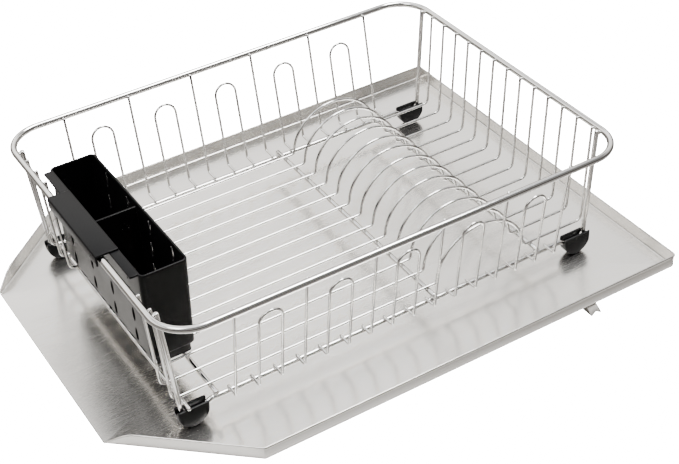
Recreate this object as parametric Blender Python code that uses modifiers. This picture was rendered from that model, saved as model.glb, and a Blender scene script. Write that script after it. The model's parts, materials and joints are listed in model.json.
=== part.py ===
"""Dish drying rack: a welded wire basket on four foot caps, a hooked cutlery holder and a sloping drip tray.

The rack is drawn level, with the tray's underside at z = 0, and the whole of it is then tipped by the tray
feet, so that the tray drains to the spout at its left (-X) end. +X is right, +Y is to the back, +Z is up.
"""
import math

import bmesh
import bpy
from mathutils import Matrix, Vector

MM = 0.001
GAP = 0.3 * MM                      # left between pieces that touch or are welded

# Wire sizes
RIM_DIA = 6.4 * MM
FRAME_DIA = 4.6 * MM                # legs, bottom rails and cross wires
END_DIA = 3.4 * MM
THIN_DIA = 2.6 * MM                 # plate wires, uprights and loops

# Basket
RIM_LENGTH = 450 * MM               # between rim wire centres
RIM_WIDTH = 343 * MM
RIM_CORNER = 34 * MM
RIM_HEIGHT = 99.5 * MM              # rim centre above the floor wires' centre
END_WALL_FLARE = 6.5 * MM           # how far an end wall leans out
PLATE_PITCH = 21 * MM
PLATE_WIRES = 13
PLATE_SHIFT = -4 * MM               # middle of the plate wires from the basket's middle, to the front
LEFT_WALL_WIRES = (1, 2, 3, 12, 13)  # plate wires that also climb the left end, beside the holder's opening
PLATE_BEND = 6 * MM
SMALLEST_BEND = math.radians(40)    # gentler turns belong to the arch and stay as they are
ARCH_LEFT_X = 50 * MM
ARCH_RIGHT_X = 146 * MM
ARCH_HEIGHT = 44.5 * MM
ARCH_FOOT_BEND = 3 * MM
ARCH_FOOT_RISE = 6.6 * MM           # the arch's curve begins this far above the floor wires
ARCH_STEPS = 10
CROSS_X = (-178 * MM, 40.5 * MM, 155 * MM)
CROSS_OVERHANG = 3 * MM             # past the bottom rail's centre
END_WIRE_OVERHANG = 8 * MM
WALL_PITCH = 22.1 * MM              # between neighbouring legs of a long wall
WALL_LEGS = 16
WALL_FOOT_END = 2 * MM              # how far a leg's foot reaches past the rail's centre
WALL_BEND = 3 * MM
LOOP_TOP = 80 * MM                  # top of a loop above the floor wires' centre
RAIL_Y = 138 * MM                   # bottom rail from the middle
LEG_Y = RAIL_Y
WALL_FOOT_Y = RAIL_Y + 13 * MM      # where a long wall's leg bends in towards its rail
LEG_BEND = 5 * MM
CORNER_LEG_BOTTOM_X = 211 * MM
END_WIRE_X = -(CORNER_LEG_BOTTOM_X - (FRAME_DIA + END_DIA) / 2 - 3 * GAP)
FOOT_X = 201 * MM                   # middle of a foot cap
FOOT_RUN = 11 * MM                  # straight part of the frame wire inside a foot cap
FOOT_RISE_X = 183 * MM              # where the frame wire has come up to rail height

# Foot caps
CAP_LENGTH = 29 * MM
CAP_WIDTH = 10 * MM
CAP_HEIGHT = 20.4 * MM
CAP_SHOULDER = 0.25                 # share of the height that stays full length
CAP_SEAT = 6.3 * MM                 # wire centre below the cap's flat top
CAP_CLEARANCE = 0.35 * MM
CAP_ARC_STEPS = 12

# Cutlery holder
HOLDER_LENGTH = 188 * MM
HOLDER_OUTER_X = -211 * MM          # outer long wall
HOLDER_WIDTH = 43.5 * MM            # at the top
HOLDER_TAPER = 2.5 * MM             # the inner and short walls lean in by this much, top to bottom
HOLDER_TOP = 103.5 * MM             # above the floor wires' centre
HOLDER_CLEAR = 1.5 * MM             # base above the floor wires
HOLDER_WALL = 2 * MM
HOLDER_FLOOR = 2.2 * MM
HOLDER_CORNER = 5 * MM
BASE_STEP_HEIGHT = 11 * MM
BASE_STEP_INSET = 3.5 * MM
DIVIDER_DROP = 2.5 * MM
LIP_WIDTH = 7 * MM
LIP_THICKNESS = 2.4 * MM
HOOK_LENGTH = 101 * MM
HOOK_WALL = 2 * MM
HOOK_DROP = 5 * MM                  # the hook's outer edge below the rim's centre
HOOK_CLEARANCE = 0.4 * MM
HOOK_CHAMFER = (0.8 * MM, 1.2 * MM)  # along the top, down the side
HOOK_ROOT = 2.9 * MM                # how far the hook runs down into the outer wall
SLOT_HEIGHT = 15 * MM
SLOT_WIDTH = 5 * MM
SLOT_COLUMNS = 4
SLOT_COLUMN_PITCH = 43.6 * MM
SLOT_ROWS = 4
SLOT_ROW_PITCH = 23 * MM
SLOT_FIRST_ROW = 19 * MM            # above the holder's base
DRAIN_DIA = 6 * MM
DRAIN_PITCH = 22 * MM
DRAINS_A_ROOM = 3

# Drip tray
TRAY_LENGTH = 535 * MM
TRAY_WIDTH = 420 * MM
TRAY_SHEET = 1.0 * MM
TRAY_WALL = 15 * MM                 # outside height
SPOUT_WIDTH = 2 * RAIL_Y - 38 * MM  # leaves the left feet clear of the cut corners' walls
CUT_CORNER = 102 * MM               # the cut corners' length along X
SPOUT_TAPER = 16 * MM               # length over which a cut corner's wall comes down to the spout
SPOUT_LIP = 3 * MM
TRAY_FOLD = 1.6 * MM
BASKET_SHIFT = 4.5 * MM             # basket's middle from the tray's middle
BASKET_SEAT = 27 * MM               # floor wires' centre above the tray's floor
TRAY_FOOT_X = 165 * MM              # from the basket's middle
TRAY_FOOT_HEIGHT = 14 * MM
TRAY_FOOT_TOP = 11 * MM
TRAY_FOOT_NECK = 5 * MM
TRAY_FOOT_TOE = 6 * MM
TRAY_FOOT_DEPTH = 12 * MM
TRAY_FOOT_INSET = 1.5 * MM
TRAY_FOOT_SOLE = 2.2 * MM

# Heights that follow from the sizes above
FLOOR_Z = TRAY_SHEET + BASKET_SEAT
RIM_Z = FLOOR_Z + RIM_HEIGHT
CROSS_Z = FLOOR_Z - THIN_DIA / 2 - GAP - FRAME_DIA / 2
RAIL_Z = CROSS_Z - FRAME_DIA - GAP
WALL_FOOT_Z = RAIL_Z + FRAME_DIA / 2 + GAP + THIN_DIA / 2
END_WIRE_Z = FLOOR_Z - THIN_DIA / 2 - GAP - END_DIA / 2
CAP_BOTTOM_Z = TRAY_SHEET + GAP
FOOT_WIRE_Z = CAP_BOTTOM_Z + CAP_HEIGHT - CAP_SEAT
WALL_WIRE_INSET = RIM_DIA / 2 + GAP + THIN_DIA / 2
LEG_INSET = RIM_DIA / 2 + GAP + FRAME_DIA / 2
BASKET_X = BASKET_SHIFT
TRAY_LEFT_X = -TRAY_LENGTH / 2
FOOT_REACH = BASKET_X + TRAY_FOOT_X - TRAY_LEFT_X
DRAIN_SLOPE = math.atan2(TRAY_FOOT_HEIGHT - SPOUT_LIP, FOOT_REACH)


def reset_scene():
    for old in list(bpy.data.objects):
        bpy.data.objects.remove(old, do_unlink=True)


def new_collection(name):
    group = bpy.data.collections.new(name)
    bpy.context.scene.collection.children.link(group)
    return group


def make_material(name, colour, roughness, metallic):
    material = bpy.data.materials.new(name)
    material.use_nodes = True
    shader = material.node_tree.nodes["Principled BSDF"]
    shader.inputs["Base Color"].default_value = (*colour, 1.0)
    shader.inputs["Roughness"].default_value = roughness
    shader.inputs["Metallic"].default_value = metallic
    return material


def rounded_path(corners, radius, steps=3):
    """Carry a line through the corners, turning each inner corner on an arc of the radius."""
    points = [Vector(corners[0])]
    for before, corner, after in zip(corners, corners[1:], corners[2:]):
        before, corner, after = Vector(before), Vector(corner), Vector(after)
        back, ahead = (before - corner).normalized(), (after - corner).normalized()
        half = back.angle(ahead) / 2
        if math.pi / 2 - half < math.radians(2):
            points.append(corner)
            continue
        shorter = min((before - corner).length, (after - corner).length)
        reach = min(radius / math.tan(half), 0.49 * shorter)
        bend = reach * math.tan(half)
        centre = corner + (back + ahead).normalized() * (bend / math.sin(half))
        start, end = corner + back * reach - centre, corner + ahead * reach - centre
        turn = start.angle(end)
        axis = start.cross(end).normalized()
        points += [centre + Matrix.Rotation(turn * k / steps, 3, axis) @ start for k in range(steps + 1)]
    points.append(Vector(corners[-1]))
    return points


def wire(name, points, diameter, material, group, parent, closed=False):
    """A round wire along the points, with flat ends."""
    curve = bpy.data.curves.new(name, "CURVE")
    curve.dimensions = "3D"
    curve.bevel_depth = diameter / 2
    curve.bevel_resolution = 2
    curve.use_fill_caps = True
    line = curve.splines.new("POLY")
    line.points.add(len(points) - 1)
    for point, place in zip(line.points, points):
        point.co = (*place, 1.0)
    line.use_cyclic_u = closed
    curve.materials.append(material)
    obj = bpy.data.objects.new(name, curve)
    group.objects.link(obj)
    obj.parent = parent
    return obj


def mesh_object(name, bm, material, group, parent):
    bmesh.ops.recalc_face_normals(bm, faces=bm.faces)
    mesh = bpy.data.meshes.new(name)
    bm.to_mesh(mesh)
    bm.free()
    if material:
        mesh.materials.append(material)
    obj = bpy.data.objects.new(name, mesh)
    group.objects.link(obj)
    obj.parent = parent
    return obj


def mark_cutter(obj):
    obj.hide_render = True
    obj.display_type = "WIRE"


def outline_block(outline, axis, start, depth):
    """A prism: a closed outline of 2D points, carried from start along the named axis by depth."""
    at = "XYZ".index(axis)
    corners = []
    for point in outline:
        corner = list(point)
        corner.insert(at, start)
        corners.append(corner)
    along = Vector((0, 0, 0))
    along[at] = depth
    bm = bmesh.new()
    face = bm.faces.new([bm.verts.new(corner) for corner in corners])
    moved = bmesh.ops.extrude_face_region(bm, geom=[face])["geom"]
    bmesh.ops.translate(bm, vec=along, verts=[v for v in moved if isinstance(v, bmesh.types.BMVert)])
    return bm


def box_block(low, high):
    bm = bmesh.new()
    bmesh.ops.create_cube(bm, size=1.0)
    low, high = Vector(low), Vector(high)
    for vert in bm.verts:
        vert.co = (low + high) / 2 + Vector(a * b for a, b in zip(vert.co, high - low))
    return bm


def boolean(obj, other, operation):
    change = obj.modifiers.new(f"{operation.lower()} {other.name}", "BOOLEAN")
    change.operation = operation
    change.object = other
    change.solver = "EXACT"


def build_tray(group, frame, steel):
    """The pan: a flat floor whose edges, all but the spout's, are folded up, given the sheet's thickness."""
    half_width, half_spout = TRAY_WIDTH / 2, SPOUT_WIDTH / 2
    left, right = TRAY_LEFT_X, TRAY_LEFT_X + TRAY_LENGTH
    cut = left + CUT_CORNER
    taper = SPOUT_TAPER / CUT_CORNER
    near_spout = (left + SPOUT_TAPER, half_spout + (half_width - half_spout) * taper)
    outline = [(left, -half_spout), (near_spout[0], -near_spout[1]), (cut, -half_width),
               (right, -half_width), (right, half_width), (cut, half_width), near_spout, (left, half_spout)]
    bm = bmesh.new()
    floor = [bm.verts.new((x, y, 0)) for x, y in outline]
    bm.faces.new(floor)
    bm.edges.ensure_lookup_table()
    walls = [bm.edges.get((floor[i], floor[i + 1])) for i in range(len(floor) - 1)]
    raised = bmesh.ops.extrude_edge_only(bm, edges=walls)["geom"]
    for vert in (v for v in raised if isinstance(v, bmesh.types.BMVert)):
        at_spout = abs(vert.co.x - left) < MM
        vert.co.z = 2 * TRAY_SHEET if at_spout else TRAY_WALL
    lip = bmesh.ops.extrude_edge_only(bm, edges=[bm.edges.get((floor[-1], floor[0]))])["geom"]
    for vert in (v for v in lip if isinstance(v, bmesh.types.BMVert)):
        vert.co.z = -SPOUT_LIP
    pan = mesh_object("tray_pan", bm, steel, group, frame)
    thicken = pan.modifiers.new("sheet", "SOLIDIFY")
    thicken.thickness = TRAY_SHEET
    thicken.offset = -1
    thicken.use_even_offset = True
    fold = pan.modifiers.new("folds", "BEVEL")
    fold.width = TRAY_FOLD
    fold.segments = 2
    fold.limit_method = "ANGLE"
    fold.angle_limit = math.radians(50)
    return pan


def ground_z(x):
    """Height of the surface that the rack stands on, seen from the level rack."""
    return -SPOUT_LIP - (x - TRAY_LEFT_X) * math.tan(DRAIN_SLOPE)


def build_tray_foot(name, side, group, frame, steel):
    """A tapered tab with a toe; its sole lies on the ground when the tray slopes."""
    x = BASKET_X + TRAY_FOOT_X
    top = -GAP
    neck_left, neck_right = x + TRAY_FOOT_TOP / 2 - TRAY_FOOT_NECK, x + TRAY_FOOT_TOP / 2
    toe = neck_right + TRAY_FOOT_TOE
    outline = [(x - TRAY_FOOT_TOP / 2, top), (x + TRAY_FOOT_TOP / 2, top),
               (neck_right, ground_z(neck_right) + 2 * TRAY_FOOT_SOLE),
               (toe, ground_z(toe) + TRAY_FOOT_SOLE), (toe, ground_z(toe)), (neck_left, ground_z(neck_left))]
    start = side * (TRAY_WIDTH / 2 - TRAY_FOOT_INSET)
    bm = outline_block(outline, "Y", start, -side * TRAY_FOOT_DEPTH)
    return mesh_object(name, bm, steel, group, frame)


def rim_points():
    """A rounded rectangle, its corners quarter circles."""
    half_x, half_y, steps = RIM_LENGTH / 2, RIM_WIDTH / 2, 6
    points = []
    for quarter, (sx, sy) in enumerate([(1, 1), (-1, 1), (-1, -1), (1, -1)]):
        for k in range(steps + 1):
            angle = math.pi / 2 * (quarter + k / steps)
            points.append(Vector((BASKET_X + sx * (half_x - RIM_CORNER) + RIM_CORNER * math.cos(angle),
                                  sy * (half_y - RIM_CORNER) + RIM_CORNER * math.sin(angle), RIM_Z)))
    return points


def frame_points(side):
    """Leg, foot, bottom rail, foot and leg, in one wire on the side's long wall."""
    top_x = RIM_LENGTH / 2 - LEG_INSET
    half = [(top_x, LEG_Y, RIM_Z), (CORNER_LEG_BOTTOM_X, LEG_Y, FOOT_WIRE_Z + LEG_BEND),
            (FOOT_X + FOOT_RUN / 2, RAIL_Y, FOOT_WIRE_Z), (FOOT_X - FOOT_RUN / 2, RAIL_Y, FOOT_WIRE_Z),
            (FOOT_RISE_X, RAIL_Y, RAIL_Z)]
    left = [(BASKET_X - x, side * y, z) for x, y, z in half]
    right = [(BASKET_X + x, side * y, z) for x, y, z in reversed(half)]
    return rounded_path(left + right, LEG_BEND, 3)


def plate_wire_points(number):
    """Floor, plate arch, floor and right end wall; the wires beside the holder also climb the left end."""
    y = PLATE_SHIFT + (PLATE_WIRES + 1 - 2 * number) / 2 * PLATE_PITCH
    top_x = RIM_LENGTH / 2 - WALL_WIRE_INSET
    bottom_x = top_x - END_WALL_FLARE
    centre, half = (ARCH_LEFT_X + ARCH_RIGHT_X) / 2, (ARCH_RIGHT_X - ARCH_LEFT_X) / 2
    wall_top = RIM_HEIGHT + THIN_DIA / 2
    profile = [(END_WIRE_X - END_DIA / 2, 0)]
    if number in LEFT_WALL_WIRES:
        profile = [(-top_x, wall_top), (-bottom_x, 0)]
    profile += [(ARCH_LEFT_X, 0)]
    first = math.asin(ARCH_FOOT_RISE / ARCH_HEIGHT)
    for k in range(ARCH_STEPS + 1):
        angle = math.pi - first - (math.pi - 2 * first) * k / ARCH_STEPS
        profile.append((centre + half * math.cos(angle), ARCH_HEIGHT * math.sin(angle)))
    profile += [(ARCH_RIGHT_X, 0), (bottom_x, 0), (top_x, wall_top)]
    return smooth_profile([(BASKET_X + x, y, FLOOR_Z + z) for x, z in profile])


def smooth_profile(corners):
    """Bend a plate wire: wide bends at the walls, tight ones at the arch's feet, the arch left as it is."""
    points = [Vector(corners[0])]
    for before, corner, after in zip(corners, corners[1:], corners[2:]):
        corner = Vector(corner)
        turn = (corner - Vector(before)).angle(Vector(after) - corner)
        if turn < SMALLEST_BEND:
            points.append(corner)
            continue
        at_arch = ARCH_LEFT_X - MM < corner.x - BASKET_X < ARCH_RIGHT_X + MM
        bend = ARCH_FOOT_BEND if at_arch else PLATE_BEND
        points += rounded_path([before, corner, after], bend, 3)[1:-1]
    points.append(Vector(corners[-1]))
    return points


def wall_line():
    """The long wall's slanting plane: its foot and its unit direction, seen from the end as (y, z)."""
    foot = Vector((WALL_FOOT_Y, WALL_FOOT_Z))
    top = Vector((RIM_WIDTH / 2 - WALL_WIRE_INSET, RIM_Z))
    return foot, top, (top - foot).normalized()


def wall_leg_x(number):
    return BASKET_X + (number - (WALL_LEGS - 1) / 2) * WALL_PITCH


def upright_points(leg, side):
    foot, top, rise = wall_line()
    end = top + rise * THIN_DIA / 2
    x = wall_leg_x(leg)
    foot_end = RAIL_Y - WALL_FOOT_END
    corners = [(x, side * foot_end, foot.y), (x, side * foot.x, foot.y), (x, side * end.x, end.y)]
    return rounded_path(corners, WALL_BEND, 3)


def loop_points(leg, side):
    """Two legs joined by a half circle in the wall's plane."""
    foot, top, rise = wall_line()
    radius = WALL_PITCH / 2
    spring = (FLOOR_Z + LOOP_TOP - foot.y) / rise.y - radius
    left, right = wall_leg_x(leg), wall_leg_x(leg + 1)
    corners = []
    for x in (left, right):
        end = foot + rise * spring
        corners.append([(x, side * (RAIL_Y - WALL_FOOT_END), foot.y), (x, side * foot.x, foot.y),
                        (x, side * end.x, end.y)])
    points = rounded_path(corners[0], WALL_BEND, 3)
    steps = 8
    for k in range(1, steps):
        angle = math.pi * (1 - k / steps)
        height = foot + rise * (spring + radius * math.sin(angle))
        points.append(Vector(((left + right) / 2 + radius * math.cos(angle), side * height.x, height.y)))
    return points + list(reversed(rounded_path(corners[1], WALL_BEND, 3)))


def build_wall(name, side, group, parent, steel):
    """Sixteen legs: single uprights at every third place, loops between them."""
    for k, leg in enumerate(range(0, WALL_LEGS, 3)):
        wire(f"{name}_upright_{k + 1}", upright_points(leg, side), THIN_DIA, steel, group, parent)
    for k, leg in enumerate(range(1, WALL_LEGS - 1, 3)):
        wire(f"{name}_loop_{k + 1}", loop_points(leg, side), THIN_DIA, steel, group, parent)


def build_basket(group, cutters, parent, steel, rubber):
    wire("rim_wire", rim_points(), RIM_DIA, steel, group, parent, closed=True)
    for name, side in (("front", -1), ("back", 1)):
        wire(f"frame_wire_{name}", frame_points(side), FRAME_DIA, steel, group, parent)
        build_wall(name, side, group, parent, steel)
        seat_dia = FRAME_DIA + 2 * CAP_CLEARANCE
        seat = wire(f"cap_seat_{name}", frame_points(side), seat_dia, steel, cutters, parent)
        cutter = curve_to_mesh(seat, cutters)
        for end, direction in (("left", -1), ("right", 1)):
            build_foot_cap(f"foot_cap_{name}_{end}", direction, side, cutter, group, parent, rubber)
    for name, x in zip(("left", "middle", "right"), CROSS_X):
        reach = RAIL_Y + CROSS_OVERHANG
        ends = [Vector((BASKET_X + x, -reach, CROSS_Z)), Vector((BASKET_X + x, reach, CROSS_Z))]
        wire(f"cross_wire_{name}", ends, FRAME_DIA, steel, group, parent)
    reach = RAIL_Y + END_WIRE_OVERHANG
    ends = [Vector((BASKET_X + END_WIRE_X, side * reach, END_WIRE_Z)) for side in (-1, 1)]
    wire("end_wire_left", ends, END_DIA, steel, group, parent)
    for number in range(1, PLATE_WIRES + 1):
        wire(f"plate_wire_{number:02d}", plate_wire_points(number), THIN_DIA, steel, group, parent)


def curve_to_mesh(obj, group):
    """A curve's tube as a closed mesh, so that a Boolean can use it."""
    bpy.context.view_layer.update()
    evaluated = obj.evaluated_get(bpy.context.evaluated_depsgraph_get())
    mesh = bpy.data.meshes.new_from_object(evaluated)
    bm = bmesh.new()
    bm.from_mesh(mesh)
    bmesh.ops.remove_doubles(bm, verts=bm.verts, dist=1e-6)
    bm.to_mesh(mesh)
    bm.free()
    name, place, parent = obj.name, obj.matrix_world.copy(), obj.parent
    bpy.data.objects.remove(obj, do_unlink=True)
    solid = bpy.data.objects.new(name, mesh)
    group.objects.link(solid)
    solid.parent = parent
    solid.matrix_world = place
    mark_cutter(solid)
    return solid


def build_foot_cap(name, direction, side, seat, group, parent, rubber):
    """A half-moon block: flat on top, round below, with the frame wire let into it."""
    centre_x = BASKET_X + direction * FOOT_X
    top = CAP_BOTTOM_Z + CAP_HEIGHT
    shoulder = CAP_HEIGHT * CAP_SHOULDER
    outline = [(centre_x + CAP_LENGTH / 2, top), (centre_x - CAP_LENGTH / 2, top)]
    for k in range(CAP_ARC_STEPS + 1):
        angle = math.pi + math.pi * k / CAP_ARC_STEPS
        outline.append((centre_x + CAP_LENGTH / 2 * math.cos(angle),
                        top - shoulder + (CAP_HEIGHT - shoulder) * math.sin(angle)))
    start = side * RAIL_Y - CAP_WIDTH / 2
    cap = mesh_object(name, outline_block(outline, "Y", start, CAP_WIDTH), rubber, group, parent)
    boolean(cap, seat, "DIFFERENCE")
    return cap


def tapered_body(top_low, top_high, bottom_low, bottom_high, z_bottom, z_top, corner):
    """A block whose footprint shrinks towards its base, with rounded upright corners."""
    bm = box_block((-0.5, -0.5, z_bottom), (0.5, 0.5, z_top))
    for vert in bm.verts:
        upper = vert.co.z > (z_bottom + z_top) / 2
        low, high = (top_low, top_high) if upper else (bottom_low, bottom_high)
        vert.co.x = high[0] if vert.co.x > 0 else low[0]
        vert.co.y = high[1] if vert.co.y > 0 else low[1]
    uprights = [e for e in bm.edges if abs(e.verts[0].co.z - e.verts[1].co.z) > (z_top - z_bottom) / 2]
    if corner > 0:
        bmesh.ops.bevel(bm, geom=uprights, offset=corner, segments=3, profile=0.5, affect="EDGES")
    return bm


def build_holder(group, cutters, parent, plastic):
    """Two open compartments with slotted long walls, a stepped base and a hook over the rim."""
    outer, inner = BASKET_X + HOLDER_OUTER_X, BASKET_X + HOLDER_OUTER_X + HOLDER_WIDTH
    half = HOLDER_LENGTH / 2
    base = FLOOR_Z + THIN_DIA / 2 + HOLDER_CLEAR
    step = base + BASE_STEP_HEIGHT
    top = FLOOR_Z + HOLDER_TOP
    slim = HOLDER_TAPER
    holder = mesh_object("cutlery_holder", tapered_body(
        (outer, -half), (inner, half), (outer, -half + slim), (inner - slim, half - slim), step, top,
        HOLDER_CORNER), plastic, group, parent)
    inset = BASE_STEP_INSET
    foot = mesh_object("holder_base", tapered_body(
        (outer + inset, -half + slim + inset), (inner - slim - inset, half - slim - inset),
        (outer + inset, -half + slim + inset), (inner - slim - inset, half - slim - inset),
        base, step + HOLDER_FLOOR / 2, HOLDER_CORNER - HOLDER_WALL), None, cutters, parent)
    rim_x = BASKET_X - RIM_LENGTH / 2
    inside = RIM_DIA / 2 + HOOK_CLEARANCE
    hook_top, hook_under = RIM_Z + inside + HOOK_WALL, RIM_Z + inside
    lip_x = outer - LIP_WIDTH
    hook_x = rim_x - inside - HOOK_WALL
    hook_outline = [
        (outer + HOLDER_WALL, hook_top), (hook_x + HOOK_CHAMFER[0], hook_top),
        (hook_x, hook_top - HOOK_CHAMFER[1]), (hook_x, RIM_Z - HOOK_DROP),
        (rim_x - inside, RIM_Z - HOOK_DROP), (rim_x - inside, hook_under), (lip_x + HOOK_WALL, hook_under),
        (outer + HOLDER_WALL, hook_under - HOOK_ROOT)]
    hook = mesh_object("holder_hook", outline_block(hook_outline, "Y", -HOOK_LENGTH / 2, HOOK_LENGTH),
                       None, cutters, parent)
    lip_half = half - HOLDER_CORNER
    lip = mesh_object("holder_lip", box_block(
        (lip_x, -lip_half, top - LIP_THICKNESS), (outer + HOLDER_WALL, lip_half, top)), None, cutters, parent)
    for piece in (foot, hook, lip):
        mark_cutter(piece)
        boolean(holder, piece, "UNION")
    wall, gap = HOLDER_WALL, HOLDER_WALL / 2
    for name, low_y, high_y in (("front", -half + wall, -gap), ("back", gap, half - wall)):
        short = slim if name == "front" else 0.0
        long = slim if name == "back" else 0.0
        room = mesh_object(f"compartment_{name}", tapered_body(
            (outer + wall, low_y), (inner - wall, high_y),
            (outer + wall, low_y + short), (inner - wall - slim, high_y - long),
            step + HOLDER_FLOOR, top + HOLDER_WALL, HOLDER_CORNER - wall), None, cutters, parent)
        near = (outer + inset + wall, low_y + short + inset)
        far = (inner - wall - slim - inset, high_y - long - inset)
        well = mesh_object(f"well_{name}", tapered_body(
            near, far, near, far,
            base + HOLDER_FLOOR, step + HOLDER_FLOOR + MM, HOLDER_CORNER - wall), None, cutters, parent)
        for piece in (room, well):
            mark_cutter(piece)
            boolean(holder, piece, "DIFFERENCE")
    cut_divider = mesh_object("divider_top", box_block(
        (outer + 2 * wall, -wall, top - DIVIDER_DROP),
        (inner - 2 * wall, wall, top + wall)), None, cutters, parent)
    mark_cutter(cut_divider)
    boolean(holder, cut_divider, "DIFFERENCE")
    slots = mesh_object("slots", slot_rods(outer, inner, base), None, cutters, parent)
    drains = mesh_object("drains", drain_rods((outer + inner - slim) / 2, base), None, cutters, parent)
    for piece in (slots, drains):
        mark_cutter(piece)
        boolean(holder, piece, "DIFFERENCE")
    return holder


def add_rod(bm, place, size, axis):
    """An eight-sided rod along the axis, centred at the place; size is (length, width, height)."""
    turn = Matrix.Rotation(math.pi / 2, 4, "Y") if axis == "X" else Matrix.Identity(4)
    made = bmesh.ops.create_cone(
        bm, cap_ends=True, segments=8, radius1=0.5, radius2=0.5, depth=1.0, matrix=turn)
    bmesh.ops.scale(bm, vec=Vector(size), verts=made["verts"])
    bmesh.ops.translate(bm, vec=Vector(place), verts=made["verts"])


def slot_rods(outer, inner, base):
    bm = bmesh.new()
    size = (HOLDER_WIDTH + 4 * HOLDER_WALL, SLOT_WIDTH, SLOT_HEIGHT)
    for column in range(SLOT_COLUMNS):
        y = (column - (SLOT_COLUMNS - 1) / 2) * SLOT_COLUMN_PITCH
        for row in range(SLOT_ROWS):
            z = base + SLOT_FIRST_ROW + row * SLOT_ROW_PITCH
            add_rod(bm, ((outer + inner) / 2, y, z), size, "X")
    return bm


def drain_rods(x, base):
    bm = bmesh.new()
    for k in range(1, DRAINS_A_ROOM + 1):
        for side in (-1, 1):
            add_rod(bm, (x, side * k * DRAIN_PITCH, base), (DRAIN_DIA, DRAIN_DIA, 4 * HOLDER_FLOOR), "Z")
    return bm


def empty(name, group, parent=None, place=(0, 0, 0)):
    obj = bpy.data.objects.new(name, None)
    group.objects.link(obj)
    obj.parent = parent
    obj.location = place
    return obj


def main():
    reset_scene()
    group = new_collection("dish_drying_rack")
    cutters = new_collection("cutters")
    tray_steel = make_material("brushed tray steel", (0.62, 0.60, 0.57), 0.32, 1.0)
    wire_steel = make_material("polished wire steel", (0.72, 0.71, 0.69), 0.16, 1.0)
    plastic = make_material("black satin plastic", (0.018, 0.018, 0.020), 0.38, 0.0)
    rubber = make_material("black foot rubber", (0.022, 0.022, 0.022), 0.55, 0.0)

    # The level rack turns about the spout's lip, then its own middle is brought over the origin.
    lip = Vector((TRAY_LEFT_X, 0, -SPOUT_LIP))
    right = Vector((TRAY_LEFT_X + TRAY_LENGTH, 0, 0))
    tip = Matrix.Rotation(-DRAIN_SLOPE, 4, "Y")
    low_left, far_right = tip @ lip, tip @ right
    frame = empty("rack_frame", group)
    frame.rotation_euler = (0, -DRAIN_SLOPE, 0)
    frame.location = (-(low_left.x + far_right.x) / 2, 0, -low_left.z)

    build_tray(group, frame, tray_steel)
    build_tray_foot("tray_foot_front", -1, group, frame, tray_steel)
    build_tray_foot("tray_foot_back", 1, group, frame, tray_steel)
    basket = empty("basket_frame", group, frame)
    build_basket(group, cutters, basket, wire_steel, rubber)
    build_holder(group, cutters, basket, plastic)


main()
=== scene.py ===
"""Looks of the dish drying rack: smooth welded wires, a hemmed drip tray, a moulded cutlery holder and
capped feet.

Shapes are worked out level, with +X to the right, +Y to the back and +Z up, and are then tipped by the
tray's slope.
"""
import json
import math

import bmesh
import bpy
import numpy as np
from mathutils import Matrix, Vector
from mathutils.geometry import tessellate_polygon


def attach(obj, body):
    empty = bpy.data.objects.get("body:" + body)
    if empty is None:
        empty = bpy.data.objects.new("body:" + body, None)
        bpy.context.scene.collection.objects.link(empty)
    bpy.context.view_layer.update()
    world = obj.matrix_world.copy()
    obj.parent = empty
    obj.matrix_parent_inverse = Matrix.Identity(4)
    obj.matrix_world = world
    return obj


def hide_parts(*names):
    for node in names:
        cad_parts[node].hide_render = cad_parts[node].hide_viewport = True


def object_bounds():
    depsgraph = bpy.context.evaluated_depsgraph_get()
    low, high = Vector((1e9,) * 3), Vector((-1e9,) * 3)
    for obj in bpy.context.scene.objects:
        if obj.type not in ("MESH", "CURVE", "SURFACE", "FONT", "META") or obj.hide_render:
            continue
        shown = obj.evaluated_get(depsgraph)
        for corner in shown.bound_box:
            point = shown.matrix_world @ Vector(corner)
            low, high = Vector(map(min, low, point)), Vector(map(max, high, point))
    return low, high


MM = 0.001
TAU = 2 * math.pi

# Sizes of the wires and their bends
RIM_DIA = 6.4 * MM
FRAME_DIA = 4.6 * MM
END_DIA = 3.4 * MM
THIN_DIA = 2.6 * MM
WELD_GAP = 0.3 * MM
TOP_WELD_DROP = 0.5 * MM                # the rim's welds lie this far below its middle
DOME_HEIGHT = 0.45                      # of a cut wire's end, in wire radii
RIM_CORNER = 34 * MM
PLATE_BEND = 6 * MM
ARCH_BEND = 4 * MM
ARCH_LEFT_X, ARCH_RIGHT_X, ARCH_HEIGHT = 50 * MM, 146 * MM, 44.5 * MM   # from the basket's middle
ARCH_START = 5.5 * MM                   # the arch follows its ellipse from this height up
OPEN_BEND = 1.0                         # larger than any run, so the whole run is bent
WALL_BEND = 3.2 * MM
LEG_BEND = 5 * MM
LEG_LEAN = 0.48                         # of a leg's whole lean, the part above its lower bend
LEG_OVERHANG = 2 * MM                   # of a wall wire's foot, inward past the middle of the rail
WALL_FOOT_Y = 151 * MM                  # where the long walls start to slant, from the middle
WALL_LEAN = 6.5 * MM                    # of the end walls, from top to bottom
FOOT_MIDDLE = 201 * MM
FOOT_RUN = 11 * MM
RAIL_START = 183 * MM
CAP_SEAT = 6.3 * MM

# Sizes of the tray's folds
SHEET = 0.9 * MM
FOLD = 1.8 * MM
HEM = 1.7 * MM
HEM_DEPTH = 2.3 * MM
CORNER_FOLD = 2.6 * MM
SPOUT_WIDTH = 238 * MM
CUT_CORNER = 102 * MM
SPOUT_TAPER = 16 * MM
SPOUT_EDGE = 1.9 * MM
SPOUT_INSET = 1.0 * MM

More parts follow.
